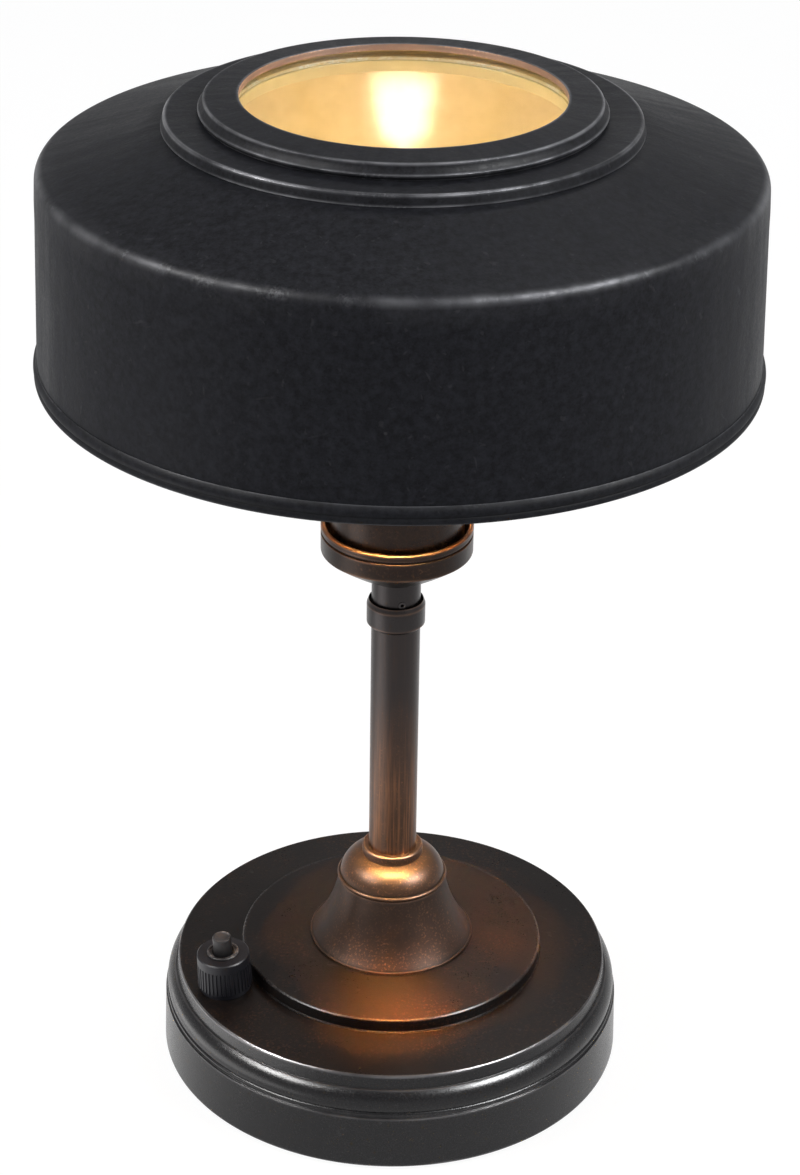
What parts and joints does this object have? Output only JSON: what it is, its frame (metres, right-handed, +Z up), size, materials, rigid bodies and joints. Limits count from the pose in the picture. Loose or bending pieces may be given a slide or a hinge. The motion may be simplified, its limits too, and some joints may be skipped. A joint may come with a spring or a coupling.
{
  "type": "table lamp",
  "caption": "Table lamp with a round moulded base, a straight stem, a wide drum shade with a glass disc in its top, and a push switch on the base.",
  "frame": {"origin": "middle of the felt pad's lower face, which rests on the table", "axes": "+Z up along the stem; -Y towards the viewer; the cord inlet faces +Y; the switch is at the front left"},
  "size_m": [0.3078, 0.3078, 0.4634],
  "materials": {
    "base_paint": "black stove enamel, satin, worn at the edges",
    "shade_paint": "black satin enamel with fine orange peel, worn at the edges",
    "bronze": "antique bronze, dark brown patina rubbed through to copper",
    "cast_iron": "bare casting",
    "steel": "zinc plated",
    "felt": "dark green felt",
    "rubber": "matt black",
    "switch_black": "moulded black, satin",
    "gunmetal": "dark nickel",
    "brass": "plain brass",
    "porcelain": "glazed white porcelain",
    "holder_black": "moulded black",
    "clear_glass": "clear",
    "bulb_metal": "rolled, satin",
    "light_strip": "warm light strips",
    "lead_brown": "insulated wire",
    "spring_steel": "bare spring steel"
  },
  "bodies": {
    "lamp": {"base_casting": "base_paint", "top_disc": "base_paint", "base_weight": "cast_iron", "base_plate": "steel", "base_plate_screws": "steel", "base_pad": "felt", "cord_grommet": "rubber", "terminal_block": "porcelain", "terminal_screws": "brass", "lamp_leads": "lead_brown", "switch_leads": "lead_brown", "bell_foot": "bronze", "foot_dome": "bronze", "foot_ring": "bronze", "stem_tube": "bronze", "stem_collar": "bronze", "neck_tube": "bronze", "neck_bush": "brass", "neck_grub_screw": "gunmetal", "tie_tube": "steel", "tie_tube_nut": "steel", "tie_tube_washer": "steel", "switch_housing": "switch_black", "switch_washer": "switch_black", "switch_bushing": "gunmetal", "switch_nut": "gunmetal", "switch_body": "holder_black", "switch_spring": "spring_steel", "switch_terminals": "brass", "holder_cup": "bronze", "cup_nut": "steel", "holder_sleeve": "bronze", "lampholder_cap": "holder_black", "lampholder_skirt": "holder_black", "lampholder_insert": "porcelain", "lampholder_shell": "brass", "centre_contact": "brass", "shade_ring": "holder_black", "shade_spider": "shade_paint", "spider_studs": "steel", "spider_nuts": "steel", "shade_shell": "shade_paint", "hem_band": "shade_paint", "cap_flange": "shade_paint", "glass_bezel": "shade_paint", "glass_lens": "clear_glass", "lens_gasket": "rubber", "cap_screws": "steel", "bulb_cap": "bulb_metal", "bulb_insulator": "porcelain", "bulb_contact": "bulb_metal", "bulb_envelope": "clear_glass", "bulb_stem": "clear_glass", "bulb_filaments": "light_strip", "bulb_wires": "steel"},
    "switch_button": {"switch_plunger": "gunmetal"}
  },
  "joints": [
    {"name": "switch_press", "type": "slide", "parent": "lamp", "child": "switch_button", "axis": [0.0473, 0.0217, -0.9986], "range_m": [0, 0.003], "stiffness_N_per_m": 400, "springref_m": -0.006, "deforming": ["switch_spring"]}
  ]
}
